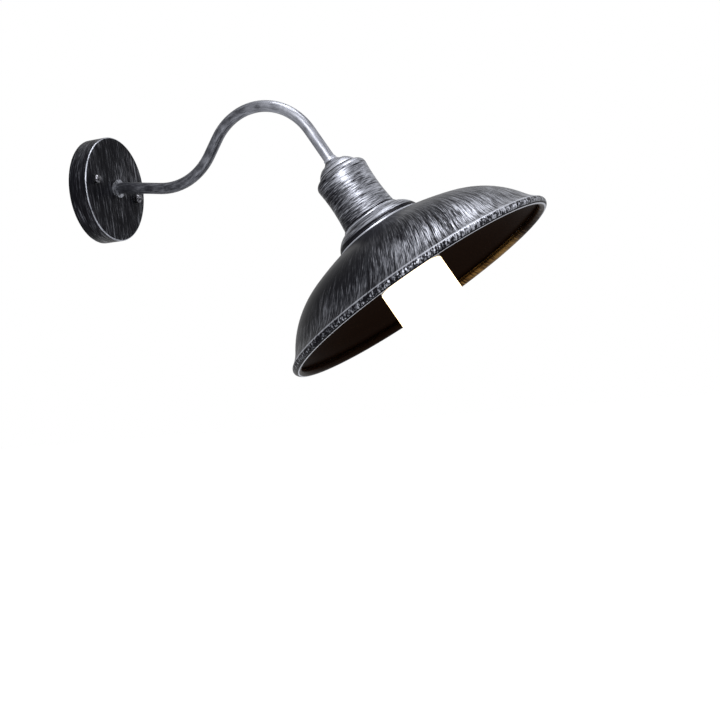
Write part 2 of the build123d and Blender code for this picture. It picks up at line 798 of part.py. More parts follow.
housing_top = cap_bottom - 0.2
housing_bottom = housing_top - housing_h
housing_wall = 1.6
with BuildPart() as bulb_housing:
    with BuildSketch(head_section):
        with BuildLine():
            Line((cap_radius - 2.2, thread_start + 4.0), (cap_radius - 2.2, housing_top))
            Line((cap_radius - 2.2, housing_top), (housing_neck_radius, housing_top))
            neck_line = Line(
                (housing_neck_radius, housing_top), (housing_neck_radius, housing_top - 12.0)
            )
            flare_out = ThreePointArc(
                neck_line @ 1,
                (bulb_radius * 0.66, housing_bottom + housing_h * 0.42),
                (bulb_radius, housing_bottom + 6.0),
            )
            Line(flare_out @ 1, (bulb_radius, housing_bottom))
            offset(amount=housing_wall, side=Side.RIGHT)
        make_face()
    revolve(axis=head_axis)

plate_radius = bulb_radius - housing_wall - 0.2
plate_h = 1.6
with BuildPart() as bulb_led_plate:
    with BuildSketch(head_plane(housing_bottom + 1.0)):
        Circle(plate_radius)
        Circle(2.0, mode=Mode.SUBTRACT)
    extrude(amount=plate_h)

led_rings = ((plate_radius * 0.45, led_count // 3), (plate_radius * 0.8, led_count * 2 // 3))
with BuildPart() as bulb_leds:
    with BuildSketch(head_plane(housing_bottom + 1.0)):
        for ring_radius, count in led_rings:
            with PolarLocations(ring_radius, count):
                Rectangle(3.0, 2.8)
    extrude(amount=-0.8)

board_w = 22.0
board_t = 1.6
board_bottom = housing_bottom + 1.0 + plate_h
board_top = housing_top - 9.0
board_middle = (board_top + board_bottom) / 2
board_face = Plane(
    origin=head_point(0, board_middle), x_dir=(1, 0, 0), z_dir=(0, -cos(lean), sin(lean))
)
with BuildPart() as bulb_driver_board:
    with BuildSketch(board_face):
        Rectangle(board_w, board_top - board_bottom)
    extrude(amount=board_t / 2, both=True)
    with BuildSketch(board_face):
        with Locations((-3.5, -8.0)):
            Rectangle(11.0, 12.0)
        with Locations((4.5, 12.0)):
            Rectangle(6.0, 6.0)
    extrude(amount=6.0)
    with BuildSketch(head_plane(board_bottom + 6.0)):
        with Locations((6.8, -4.2)):
            Circle(4.0)
    extrude(amount=14.0)

dome_edge = bulb_radius - bulb_corner * (1 - sin(radians(dome_slope)))
dome_radius = (dome_edge - tip_flat) / sin(radians(dome_slope))
dome_drop = dome_radius * (1 - cos(radians(dome_slope)))
corner_top = bulb_tip + dome_drop + bulb_corner * cos(radians(dome_slope))
with BuildPart() as bulb_diffuser:
    with BuildSketch(head_section):
        with BuildLine():
            Line((bulb_radius, housing_bottom), (bulb_radius, corner_top))
            corner_arc = JernArc(
                start=(bulb_radius, corner_top),
                tangent=(0, -1),
                radius=bulb_corner,
                arc_size=dome_slope - 90,
            )
            JernArc(
                start=corner_arc @ 1,
                tangent=corner_arc % 1,
                radius=dome_radius,
                arc_size=-dome_slope,
            )
            Line((tip_flat, bulb_tip), (0, bulb_tip))
            offset(amount=bulb_wall, side=Side.RIGHT)
        make_face()
    revolve(axis=head_axis)

# ---- files -------------------------------------------------------------------------------------
pieces = {
    "wall_bracket": wall_bracket,
    "earth_washer": earth_washer,
    "earth_screw": earth_screw,
    "canopy": canopy,
    "canopy_screw_washers": canopy_screw_washers,
    "canopy_screws": canopy_screws,
    "arm_collar": arm_collar,
    "wall_nipple": wall_nipple,
    "lock_washer": lock_washer,
    "arm_locknut": arm_locknut,
    "arm_tube": arm_tube,
    "terminal_block": terminal_block,
    "terminal_tubes": terminal_tubes,
    "terminal_block_screws": terminal_block_screws,
    "live_wire": live_wire,
    "neutral_wire": neutral_wire,
    "neck_cap": neck_cap,
    "socket_cup": socket_cup,
    "head_nipple": head_nipple,
    "head_locknut": head_locknut,
    "shade_fitter": shade_fitter,
    "shade": shade,
    "lampholder_skirt": lampholder_skirt,
    "shade_ring": shade_ring,
    "lampholder_core": lampholder_core,
    "lampholder_cap": lampholder_cap,
    "lampholder_grub_screw": lampholder_grub_screw,
    "lamp_shell": lamp_shell,
    "centre_contact": centre_contact,
    "lampholder_terminal_screws": lampholder_terminal_screws,
    "bulb_cap": bulb_cap,
    "bulb_cap_insulator": bulb_cap_insulator,
    "bulb_cap_contact": bulb_cap_contact,
    "bulb_housing": bulb_housing,
    "bulb_led_plate": bulb_led_plate,
    "bulb_leds": bulb_leds,
    "bulb_driver_board": bulb_driver_board,
    "bulb_diffuser": bulb_diffuser,
}
for label, piece in pieces.items():
    piece.part.label = label
    export_step(piece.part, f"parts/{label}.step")
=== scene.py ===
# %% [markdown]
# # Gooseneck wall sconce
# A spun steel dome shade hangs from a bent tube on a round wall canopy. The steel is enamelled
# black, and silver paint is then dragged over it with an almost dry brush, so that it catches on
# the edges and leaves streaks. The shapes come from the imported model, and this script gives them
# their finishes, the light and the camera. Every length below is in metres unless it says mm.

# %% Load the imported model
from math import cos, radians, sin

import bmesh
import bpy
from mathutils import Matrix, Vector

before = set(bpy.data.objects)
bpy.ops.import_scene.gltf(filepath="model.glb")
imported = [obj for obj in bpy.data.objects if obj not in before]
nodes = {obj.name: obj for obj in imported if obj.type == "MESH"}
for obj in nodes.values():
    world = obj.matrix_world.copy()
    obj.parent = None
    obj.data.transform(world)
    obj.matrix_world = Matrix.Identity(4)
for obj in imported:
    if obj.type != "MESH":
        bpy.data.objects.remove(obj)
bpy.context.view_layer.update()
MM = 0.001

# %% [markdown]
# ## Camera
# The canopy's front circle and the shade's rim both look like ellipses in the picture. Together
# with the upright plane of the arm they fix where the camera stood: low, beside the lamp and
# turned a little on its own axis. A camera could be moved by eye until the picture fits, but then
# it hides faults of shape, so this one is worked out. A lens shift keeps the picture's frame
# without turning the camera away from the lamp.

# %% Camera
view_azimuth, view_elevation, view_roll = radians(-62.561), radians(5.125), radians(-8.098)
view_distance = 1.660418
view_target = Vector((0, -0.199956, -0.216158))
focal_px, centre_px, picture_px = 1600.0, (290.31, 373.24), 720.0

to_camera = Vector((
    sin(view_azimuth) * cos(view_elevation),
    -cos(view_azimuth) * cos(view_elevation),
    sin(view_elevation),
))
level_right = Vector((cos(view_azimuth), sin(view_azimuth), 0))
level_up = to_camera.cross(level_right)
camera_right = level_right * cos(view_roll) + level_up * sin(view_roll)
camera_up = level_up * cos(view_roll) - level_right * sin(view_roll)

camera_data = bpy.data.cameras.new("camera")
camera_data.sensor_width = 36.0
camera_data.lens = focal_px / picture_px * camera_data.sensor_width
camera_data.shift_x = (picture_px / 2 - centre_px[0]) / picture_px
camera_data.shift_y = (centre_px[1] - picture_px / 2) / picture_px
camera_data.clip_start, camera_data.clip_end = 0.05, 60.0
camera = bpy.data.objects.new("camera", camera_data)
bpy.context.scene.collection.objects.link(camera)
camera_axes = Matrix((camera_right, camera_up, to_camera)).transposed().to_4x4()
camera.matrix_world = Matrix.Translation(view_target + to_camera * view_distance) @ camera_axes
bpy.context.scene.camera = camera
print("lens", round(camera_data.lens, 1), "mm, shift", round(camera_data.shift_x, 4))

# %% [markdown]
# ## Helpers for materials
# Colours are picked as sRGB hex values, the way a paint chart gives them, and a shader needs
# them linear, so one function turns them. The next adds a node with its settings and links, so
# that each material below reads like a recipe. The last two begin a material and hand it to the
# pieces that wear it.

# %% Colour and node helpers
WHITE = (1, 1, 1, 1)


def paint(hex_colour):
    """An sRGB hex colour as linear red, green, blue and alpha."""
    parts = [int(hex_colour[i:i + 2], 16) / 255 for i in (1, 3, 5)]
    return [c / 12.92 if c <= 0.04045 else ((c + 0.055) / 1.055) ** 2.4 for c in parts] + [1.0]


def add(tree, kind, inputs=None, **settings):
    """Adds a node. Inputs are values, or sockets of other nodes to link from."""
    made = tree.nodes.new(kind)
    for key, value in settings.items():
        setattr(made, key, value)
    for key, value in (inputs or {}).items():
        if isinstance(value, bpy.types.NodeSocket):
            tree.links.new(value, made.inputs[key])
        else:
            made.inputs[key].default_value = value
    return made


def new_material(name):
    """A material with one Principled shader on its output."""
    made = bpy.data.materials.new(name)
    made.use_nodes = True
    tree = made.node_tree
    tree.nodes.clear()
    shader = tree.nodes.new("ShaderNodeBsdfPrincipled")
    output = tree.nodes.new("ShaderNodeOutputMaterial")
    tree.links.new(shader.outputs[0], output.inputs["Surface"])
    return made, tree, shader


def wear(material, *names):
    """Gives a material to CAD nodes."""
    for name in names:
        slots = nodes[name].data.materials
        slots.clear()
        slots.append(material)
    print(material.name, "on", ", ".join(names))


# %% [markdown]
# ## Background
# The lamp is shown on plain white. A white wall behind it would throw light back on the lamp and
# wash its black out, so there is none. The world is white only where the camera or a reflection
# looks straight at it, and dimmer as a light. A Light Path node tells the two kinds of ray apart.

# %% Background
scene = bpy.context.scene
scene.view_settings.view_transform = "Standard"
world_light = 0.36


def looked_at(tree):
    """One for a ray that looks, straight or by gloss or glass, and zero for one that lights."""
    rays = add(tree, "ShaderNodeLightPath")
    looks = add(tree, "ShaderNodeMath", {0: rays.outputs["Is Camera Ray"],
                                         1: rays.outputs["Is Glossy Ray"]}, operation="ADD")
    return add(tree, "ShaderNodeMath", {
        0: looks.outputs[0], 1: rays.outputs["Is Transmission Ray"]},
        operation="ADD", use_clamp=True)


world = bpy.data.worlds.new("studio")
scene.world = world
world.use_nodes = True
sky = world.node_tree
sky.nodes.clear()
seen = looked_at(sky)
level = add(sky, "ShaderNodeMapRange", {
    "Value": seen.outputs[0], "To Min": world_light, "To Max": 1.0})
glow = add(sky, "ShaderNodeBackground", {"Color": WHITE, "Strength": level.outputs[0]})
add(sky, "ShaderNodeOutputWorld", {"Surface": glow.outputs[0]})
print("strength of the world as a light", world_light)

# %% [markdown]
# ## Floor
# A pale floor lies where a room's floor would be, below a lamp at head height. It is a matt white
# paint that takes the lamp's shadow. Lamps alone would leave it grey with a hard horizon, so it
# glows by itself: a little under the lamp, and more further off, until it can't be told from the
# white behind it.

# %% Floor
floor_height, floor_half_width = -1.25, 7.0
under_lamp = (0, -0.25, floor_height)
shadow_reach, fade_reach = 0.6, 2.0
near_glow, far_glow = 0.5, 0.72

floor_mesh = bpy.data.meshes.new("floor")
shape = bmesh.new()
bmesh.ops.create_grid(shape, x_segments=1, y_segments=1, size=floor_half_width)
bmesh.ops.translate(shape, verts=shape.verts, vec=(0, 0, floor_height))
shape.to_mesh(floor_mesh)
shape.free()
floor = bpy.data.objects.new("floor", floor_mesh)
scene.collection.objects.link(floor)
floor_paint, tree, shader = new_material("pale_floor")
shader.inputs["Base Color"].default_value = paint("#fbfbfb")
shader.inputs["Roughness"].default_value = 0.9
shader.inputs["Specular IOR Level"].default_value = 0.0
seen = looked_at(tree)
place = add(tree, "ShaderNodeTexCoord")
away = add(tree, "ShaderNodeVectorMath", {0: place.outputs["Object"], 1: under_lamp},
           operation="DISTANCE")
far = add(tree, "ShaderNodeMapRange", {
    "Value": away.outputs["Value"], "From Min": shadow_reach, "From Max": fade_reach,
    "To Min": near_glow, "To Max": far_glow}, interpolation_type="SMOOTHSTEP")
glow = add(tree, "ShaderNodeMath", {0: seen.outputs[0], 1: far.outputs[0]}, operation="MULTIPLY")
tree.links.new(glow.outputs[0], shader.inputs["Emission Strength"])
shader.inputs["Emission Color"].default_value = WHITE
floor_mesh.materials.append(floor_paint)
print("floor at", floor_height, "m,", 2 * floor_half_width, "m wide")

# %% [markdown]
# ## Lamps
# Brushed paint needs large soft lamps for its long highlights. A strong one stands on the
# camera's side and draws the bright band down the neck, one overhead lights the dome, and a weak
# one in front fills the shadows.

# %% Lamps
lamp_aim = (0, -0.3, -0.1)


def soft_lamp(name, place, size, power):
    """A square area lamp at a place, turned towards the sconce."""
    data = bpy.data.lights.new(name, "AREA")
    data.shape, data.size, data.energy = "SQUARE", size, power
    lamp = bpy.data.objects.new(name, data)
    lamp.location = place
    towards = Vector(lamp_aim) - Vector(place)
    lamp.rotation_euler = towards.to_track_quat("-Z", "Y").to_euler()
    scene.collection.objects.link(lamp)
    print(name, "of", power, "W,", round(towards.length, 2), "m away")


soft_lamp("side_lamp", (-1.72, -0.98, 0.72), 0.9, 56)
soft_lamp("top_lamp", (0.1, -0.5, 1.6), 0.8, 34)
soft_lamp("front_lamp", (0.9, -1.8, 0.6), 0.8, 8)

# %% [markdown]
# ## The shade's own axes
# The brush followed the round shapes, so the streaks have to follow them too. A UV map could
# carry that, but it would have a seam down one side, and a round shape's own axis needs none. A
# Mapping node moves the pattern's origin to the middle of the rim and tips it until its Z lies
# along the shade's axis. The direction round that axis, the distance from it and the height above
# the rim are then all that a streak needs. A node group hands them to every material of the head.

# %% Axes of the head as a node group
rim_centre = Vector((0, -0.358, -0.1484))
head_tilt = radians(29.1)

head_axes = bpy.data.node_groups.new("head_axes", "ShaderNodeTree")
for title, kind in (("Round", "NodeSocketVector"), ("Radius", "NodeSocketFloat"),
                    ("Height", "NodeSocketFloat"), ("Facing", "NodeSocketFloat")):
    head_axes.interface.new_socket(title, in_out="OUTPUT", socket_type=kind)
tip = Matrix.Rotation(head_tilt, 3, "X")
place = add(head_axes, "ShaderNodeTexCoord")
upright = add(head_axes, "ShaderNodeMapping", {
    "Vector": place.outputs["Object"], "Location": -(tip @ rim_centre),
    "Rotation": (head_tilt, 0, 0)})
upright_normal = add(head_axes, "ShaderNodeMapping", {
    "Vector": place.outputs["Normal"], "Rotation": (head_tilt, 0, 0)})
flat = add(head_axes, "ShaderNodeVectorMath", {0: upright.outputs[0], 1: (1, 1, 0)},
           operation="MULTIPLY")
round_way = add(head_axes, "ShaderNodeVectorMath", {0: flat.outputs[0]}, operation="NORMALIZE")
radius = add(head_axes, "ShaderNodeVectorMath", {0: flat.outputs[0]}, operation="LENGTH")
height = add(head_axes, "ShaderNodeSeparateXYZ", {0: upright.outputs[0]})
facing = add(head_axes, "ShaderNodeSeparateXYZ", {0: upright_normal.outputs[0]})
add(head_axes, "NodeGroupOutput", {
    "Round": round_way.outputs[0], "Radius": radius.outputs["Value"],
    "Height": height.outputs["Z"], "Facing": facing.outputs["Z"]})
print("rim's middle in mm", [round(v / MM, 1) for v in rim_centre])

# %% [markdown]
# ## What a dry brush leaves
# Silver paint is dragged over the black with a brush that holds almost none. The hairs leave fine
# lines, the brush's width leaves broader bands, and the hand's pressure leaves patches. Three
# noises of those sizes are added up here, around zero. A painted picture would show every stroke
# just as well, but noise has no edges and never repeats. A piece brings its position measured in
# strokes, with one unit for a stroke's width and one for its length, and so decides which way the
# brush went.

# %% Brush strokes as a node group
hair_scale, band_scale, patch_size = 0.8, 0.2, 35 * MM  # hairs and bands in strokes
hair_share, band_share, patch_share = 3.4, 1.3, 0.9

dry_brush = bpy.data.node_groups.new("dry_brush", "ShaderNodeTree")
dry_brush.interface.new_socket("Place in Strokes", in_out="INPUT", socket_type="NodeSocketVector")
dry_brush.interface.new_socket("Paint", in_out="OUTPUT", socket_type="NodeSocketFloat")
arrives = add(dry_brush, "NodeGroupInput")
hairs = add(dry_brush, "ShaderNodeTexNoise", {
    "Vector": arrives.outputs[0], "Scale": hair_scale, "Detail": 2.0, "Roughness": 0.7,
    "Distortion": 0.2})
bands = add(dry_brush, "ShaderNodeTexNoise", {
    "Vector": arrives.outputs[0], "Scale": band_scale, "Detail": 2.0, "Roughness": 0.5})
place = add(dry_brush, "ShaderNodeTexCoord")
patches = add(dry_brush, "ShaderNodeTexNoise", {
    "Vector": place.outputs["Object"], "Scale": 1 / patch_size, "Detail": 1.0})
total = add(dry_brush, "ShaderNodeMath", {
    0: hairs.outputs[0], 1: hair_share, 2: -(hair_share + band_share + patch_share) / 2},
    operation="MULTIPLY_ADD")
total = add(dry_brush, "ShaderNodeMath", {0: bands.outputs[0], 1: band_share,
                                          2: total.outputs[0]}, operation="MULTIPLY_ADD")
total = add(dry_brush, "ShaderNodeMath", {0: patches.outputs[0], 1: patch_share,
                                          2: total.outputs[0]}, operation="MULTIPLY_ADD")
add(dry_brush, "NodeGroupOutput", {"Paint": total.outputs[0]})
print("paint swings by", (hair_share + band_share + patch_share) / 2, "each way at most")

# %% [markdown]
# ## Black enamel under silver paint
# Every painted piece gets the same two layers. The black is smooth baked enamel with a trace of
# blue. The silver is a paint full of aluminium flakes, mostly metal to the eye, so it takes a
# broad highlight. Where the amount of paint is above zero the silver covers, thinly at first, and
# a bump lifts it by the thickness of a coat. Two shaders with a mask between them would look the
# same, but one shader with blended inputs is simpler to carry to other programs. The pieces
# differ in how the brush went and where more paint stuck.

# %% The two coats on one shader
BLACK, THIN_SILVER, SILVER = paint("#0c0c0f"), paint("#303136"), paint("#8c8e96")
enamel_roughness, silver_roughness, silver_metallic = 0.34, 0.46, 0.9
enamel_sheen = 0.01  # the baked black hardly mirrors anything
thick_paint, coat_thickness = 1.1, 0.1 * MM


def two_coats(tree, shader, amount, soft=0.4, black=BLACK, thin=THIN_SILVER, full=SILVER):
    """Puts silver over black where the amount of paint is above zero."""
    cover = add(tree, "ShaderNodeMapRange", {
        "Value": amount, "From Min": -soft, "From Max": soft}, interpolation_type="SMOOTHSTEP")
    thick = add(tree, "ShaderNodeMapRange", {
        "Value": amount, "From Min": 0.0, "From Max": thick_paint},
        interpolation_type="SMOOTHSTEP")
    silver = add(tree, "ShaderNodeMix", {0: thick.outputs[0], 6: thin, 7: full},
                 data_type="RGBA")
    colour = add(tree, "ShaderNodeMix", {0: cover.outputs[0], 6: black, 7: silver.outputs[2]},
                 data_type="RGBA")
    metallic = add(tree, "ShaderNodeMapRange", {
        "Value": cover.outputs[0], "To Max": silver_metallic})
    rough = add(tree, "ShaderNodeMapRange", {
        "Value": cover.outputs[0], "To Min": enamel_roughness, "To Max": silver_roughness})
    lift = add(tree, "ShaderNodeBump", {
        "Height": cover.outputs[0], "Strength": 0.4, "Distance": coat_thickness})
    tree.links.new(colour.outputs[2], shader.inputs["Base Color"])
    tree.links.new(metallic.outputs[0], shader.inputs["Metallic"])
    tree.links.new(rough.outputs[0], shader.inputs["Roughness"])
    tree.links.new(lift.outputs[0], shader.inputs["Normal"])
    shader.inputs["Specular IOR Level"].default_value = enamel_sheen


# %% [markdown]
# ## Where paint catches, with painted highlights and shade
# An edge scrapes paint off the brush and a hollow beside it stays bare. Some of these lines also
# stand for light: a bright line on an edge is then partly a painted highlight, and a dark line in
# a hollow or in a gap between parts is painted shade. Blender can look for edges with its Bevel
# and Geometry nodes, but those treat all edges alike and change with the mesh. Round pieces have
# their edges at known distances from the shade's axis and heights over its rim, so a line of
# paint is drawn as everything within a millimetre or so of such a circle.

# %% Lines of paint, painted highlights and shade along edges
def edge_paint_highlight_shade_lines(tree, head, lines, amount):
    """Adds paint and painted light near circles on the head, and gives the new amount.

    Each line is its radius, its height and half its width in mm, and the paint that it adds.
    """
    for radius_mm, height_mm, half_width_mm, more in lines:
        point = add(tree, "ShaderNodeCombineXYZ", {"X": head.outputs["Radius"],
                                                   "Y": head.outputs["Height"]})
        gap = add(tree, "ShaderNodeVectorMath", {
            0: point.outputs[0], 1: (radius_mm * MM, height_mm * MM, 0)}, operation="DISTANCE")
        line = add(tree, "ShaderNodeMapRange", {
            "Value": gap.outputs["Value"], "From Min": 0.5 * half_width_mm * MM,
            "From Max": 1.5 * half_width_mm * MM, "To Min": more, "To Max": 0.0},
            interpolation_type="SMOOTHSTEP")
        amount = add(tree, "ShaderNodeMath", {0: line.outputs[0], 1: amount},
                     operation="ADD").outputs[0]
    return amount


# %% [markdown]
# ## Shade
# A steel disc spun over a form into a dome, with its edge rolled round into a bead. The brush was
# pulled from the crown down to the rim while the shade was turned a little, so the streaks slant.
# Paint gathered on the ridge over the bead and on the lip. The bright line on the ridge is
# also a painted highlight, and the dark lines in the hollow under the bead and in the gap round
# the fitter are painted shade. The dome's top got an even film and its side got sharper
# streaks. More silver low down on the side is a painted highlight where the overhead lamp's
# light falls, and less silver on the half that faces the wall is painted shade. The slant is
# made by turning the pattern round the axis a little more with each step in height.

# %% Shade finish: streaks
shade_enamel, tree, shader = new_material("dry_brushed_enamel_shade")
head = add(tree, "ShaderNodeGroup", node_tree=head_axes)
stroke_width, stroke_length, mean_radius = 0.5 * MM, 8 * MM, 120 * MM
slant_per_metre = -2.9
sharp_below, film_above, film_contrast = 30 * MM, 60 * MM, 0.45
# more silver low on the dome's side: a painted highlight where the overhead lamp's light falls
most_below, least_above, most_paint, least_paint = 15 * MM, 42 * MM, 0.35, -0.05
turn = add(tree, "ShaderNodeMath", {0: head.outputs["Height"], 1: slant_per_metre},
           operation="MULTIPLY")
round_way = add(tree, "ShaderNodeVectorRotate", {"Vector": head.outputs["Round"],
                                                 "Angle": turn.outputs[0]})
across = add(tree, "ShaderNodeVectorMath", {
    0: round_way.outputs[0], "Scale": mean_radius / stroke_width}, operation="SCALE")
along = add(tree, "ShaderNodeMath", {0: head.outputs["Height"], 1: 1 / stroke_length},
            operation="MULTIPLY")
along = add(tree, "ShaderNodeCombineXYZ", {"Z": along.outputs[0]})
strokes = add(tree, "ShaderNodeVectorMath", {0: across.outputs[0], 1: along.outputs[0]},
              operation="ADD")
streaks = add(tree, "ShaderNodeGroup", {0: strokes.outputs[0]}, node_tree=dry_brush)
contrast = add(tree, "ShaderNodeMapRange", {
    "Value": head.outputs["Height"], "From Min": sharp_below, "From Max": film_above,
    "To Min": 1.0, "To Max": film_contrast})
to_wall = add(tree, "ShaderNodeSeparateXYZ", {0: head.outputs["Round"]})
# less silver on the half that faces the wall: painted shade
paint_offset_by_place = add(tree, "ShaderNodeMapRange", {
    "Value": to_wall.outputs["Y"], "From Min": 0.4, "From Max": -0.75,
    "To Min": -0.6, "To Max": 0.1})
painted_highlight_low = add(tree, "ShaderNodeMapRange", {
    "Value": head.outputs["Height"], "From Min": most_below, "From Max": least_above,
    "To Min": most_paint, "To Max": least_paint}, interpolation_type="SMOOTHSTEP")
paint_offset_by_place = add(tree, "ShaderNodeMath", {0: paint_offset_by_place.outputs[0], 1: painted_highlight_low.outputs[0]}, operation="ADD")
amount = add(tree, "ShaderNodeMath", {
    0: streaks.outputs[0], 1: contrast.outputs[0], 2: paint_offset_by_place.outputs[0]},
    operation="MULTIPLY_ADD").outputs[0]
place = add(tree, "ShaderNodeTexCoord")
print("streaks", stroke_width / MM, "mm wide and", stroke_length / MM, "mm long")

# %% [markdown]
# ## Shade: bead, lip and inside
# The bead is a tight curl, and a flat brush only dabs it, so it gets blots where the dome gets
# streaks. Inside, the shade was never brushed. It is black enamel with a warm brown painted into
# it for the bulb's light. A little silver ran over the lip onto the inner half of the bead, and
# there it is tinted golden brown as a painted reflection of the bulb's warm light. Most of that
# painted glow is at the two sides. The sheet is one piece with one material, so masks tell its
# sides apart: inside is what faces down above the bead, and what is nearer to the axis than
# the bead's middle on it.

# %% Shade finish: edges
crown_radius, crown_height, bead_centre, bead_radius = 47.0, 73.0, 145.7, 4.3
blot_size = 2.4 * MM
blots = add(tree, "ShaderNodeTexNoise", {"Vector": place.outputs["Object"],
                                         "Scale": 1 / blot_size, "Detail": 2.0})
blots = add(tree, "ShaderNodeMapRange", {"Value": blots.outputs[0], "From Min": 0.3,
                                         "From Max": 0.7, "To Min": -1.0, "To Max": 0.7})
amount = edge_paint_highlight_shade_lines(tree, head, (
    # painted shadow in the gap between the fitter and the shade
    (crown_radius + 0.9, crown_height - 0.2, 0.9, -1.5),  # bare ring round the fitter
    (bead_centre + 4.0, 3.6, 3.0, blots.outputs[0]),  # blots on the bead
    # caught paint that is also a painted highlight on the ridge
    (bead_centre + 2.6, 7.6, 1.0, 1.1),  # ridge over the bead
    # painted shade under the bead
    (bead_centre + 2.2, 0.7, 0.7, -1.5),  # hollow under the bead
    (bead_centre + 0.7, 0.1, 0.7, 1.2),  # lip
), amount)
print("bead", 2 * bead_radius, "mm thick round a circle of", 2 * bead_centre, "mm")

# %% Shade finish: inside
bare = -6.0  # so far below zero that no stroke shows
bead_top = 2.03 * bead_radius * MM  # a little over its thickness
# how strong the painted reflection of the bulb on the lip is, least and most
lip_glow_least, lip_glow_most = 5.0, 6.35
down = add(tree, "ShaderNodeMath", {0: head.outputs["Facing"], 1: 0.0}, operation="LESS_THAN")
within = add(tree, "ShaderNodeMath", {
    0: head.outputs["Radius"], 1: (bead_centre - 0.4) * MM}, operation="LESS_THAN")
on_bead = add(tree, "ShaderNodeMath", {0: head.outputs["Height"], 1: bead_top},
              operation="LESS_THAN")
inside = add(tree, "ShaderNodeMix", {0: on_bead.outputs[0], 2: down.outputs[0],
                                     3: within.outputs[0]})
# the inner half of the bead, where the bulb's warm light is painted as a reflection
bulb_glow_on_lip = add(tree, "ShaderNodeMath", {0: within.outputs[0], 1: on_bead.outputs[0]},
               operation="MULTIPLY")
sideways = add(tree, "ShaderNodeMath", {0: to_wall.outputs["X"]}, operation="ABSOLUTE")
sideways = add(tree, "ShaderNodeMapRange", {
    "Value": sideways.outputs[0], "From Min": 0.7, "From Max": 0.97,
    "To Min": lip_glow_least, "To Max": lip_glow_most}, interpolation_type="SMOOTHSTEP")
amount = add(tree, "ShaderNodeMath", {0: inside.outputs[0], 1: bare, 2: amount},
             operation="MULTIPLY_ADD").outputs[0]
amount = add(tree, "ShaderNodeMath", {
    0: bulb_glow_on_lip.outputs[0], 1: sideways.outputs[0], 2: amount},
    operation="MULTIPLY_ADD").outputs[0]
# the inside is painted a warm brown for the bulb's light on it
painted_bulb_glow_black = add(tree, "ShaderNodeMix", {0: inside.outputs[0], 6: BLACK, 7: paint("#150c07")},
                 data_type="RGBA")
# golden brown on the inner bead: a painted reflection of the bulb's warm light
thin = add(tree, "ShaderNodeMix", {0: bulb_glow_on_lip.outputs[0], 6: THIN_SILVER, 7: paint("#40301b")},
           data_type="RGBA")
full = add(tree, "ShaderNodeMix", {0: bulb_glow_on_lip.outputs[0], 6: SILVER, 7: paint("#6d532c")},
           data_type="RGBA")
two_coats(tree, shader, amount, black=painted_bulb_glow_black.outputs[2], thin=thin.outputs[2],
          full=full.outputs[2])
wear(shade_enamel, "shade")

# %% [markdown]
# ## Neck: cap, socket cup and fitter
# Three small spun pieces in one line. They were brushed while they turned, so their streaks run
# round the axis, close together, and the silver covers more than it does on the shade. Less
# silver on the side that faces the wall is painted shade. An anisotropic gloss would sweep the
# light round them too, but these marks are coarse enough to be seen one by one. The fitter's lip,
# the cup's lip and shoulder, and the cap's edge and spout each carry a line of paint, and the
# line on the fitter's lip is also a painted highlight. The dark lines beside the cup's lip and
# under the cap, where the pieces meet, are painted shade.

# %% Neck finish
neck_enamel, tree, shader = new_material("dry_brushed_enamel_neck")
head = add(tree, "ShaderNodeGroup", node_tree=head_axes)
stroke_width, stroke_length, neck_radius, streak_share = 0.42 * MM, 8 * MM, 27 * MM, 0.9
along = add(tree, "ShaderNodeVectorMath", {
    0: head.outputs["Round"], "Scale": neck_radius / stroke_length}, operation="SCALE")
across = add(tree, "ShaderNodeMath", {0: head.outputs["Height"], 1: 1 / stroke_width},
             operation="MULTIPLY")
across = add(tree, "ShaderNodeCombineXYZ", {"Z": across.outputs[0]})
strokes = add(tree, "ShaderNodeVectorMath", {0: across.outputs[0], 1: along.outputs[0]},
              operation="ADD")
streaks = add(tree, "ShaderNodeGroup", {0: strokes.outputs[0]}, node_tree=dry_brush)
to_wall = add(tree, "ShaderNodeSeparateXYZ", {0: head.outputs["Round"]})
# less silver on the side that faces the wall: painted shade
paint_offset_by_place = add(tree, "ShaderNodeMapRange", {
    "Value": to_wall.outputs["Y"], "From Min": 0.4, "From Max": -0.4,
    "To Min": -0.05, "To Max": 0.5})
amount = add(tree, "ShaderNodeMath", {
    0: streaks.outputs[0], 1: streak_share, 2: paint_offset_by_place.outputs[0]},
    operation="MULTIPLY_ADD").outputs[0]

cup_lip, cup_top, spout = 89.3, 148.3, 164.3
amount = edge_paint_highlight_shade_lines(tree, head, (
    (46.0, crown_height + 4.0, 2.6, -0.9),  # fitter's side
    # the fitter's lip line is caught paint and also a painted highlight
    (46.3, crown_height + 0.9, 0.7, 3.0),  # fitter's lip
    (31.5, cup_lip + 0.4, 0.8, 1.6),  # cup's lip
    # the two dark lines beside the cup's lip are painted shade
    (29.5, cup_lip + 3.2, 0.7, -1.6),  # hollow over it
    (31.6, cup_lip - 1.6, 0.7, -1.6),  # hollow under it
    (24.5, cup_top - 4.0, 2.4, 0.8),  # cup's shoulder
    # painted shadow under the cap's edge, where cap and cup meet
    (21.5, cup_top + 0.6, 0.7, -1.8),  # hollow under the cap
    (20.9, cup_top + 2.2, 0.6, 1.2),  # cap's edge
    (7.0, spout, 2.6, 0.9),  # cap's spout
), amount)
two_coats(tree, shader, amount)
wear(neck_enamel, "neck_cap", "socket_cup", "shade_fitter")

# %% [markdown]
# ## Arm tube
# A bent steel tube is awkward to brush, so it was wiped all over with silver and the black shows
# only as mottling and fine scratches. Marks that follow the tube's bends would need its length
# at every point, which a mesh from CAD doesn't carry. The noise is stretched in the plane in
# which the tube was bent instead, so that marks lie along it wherever it points. The silver
# thins towards the wall end, so the tube is darker there.

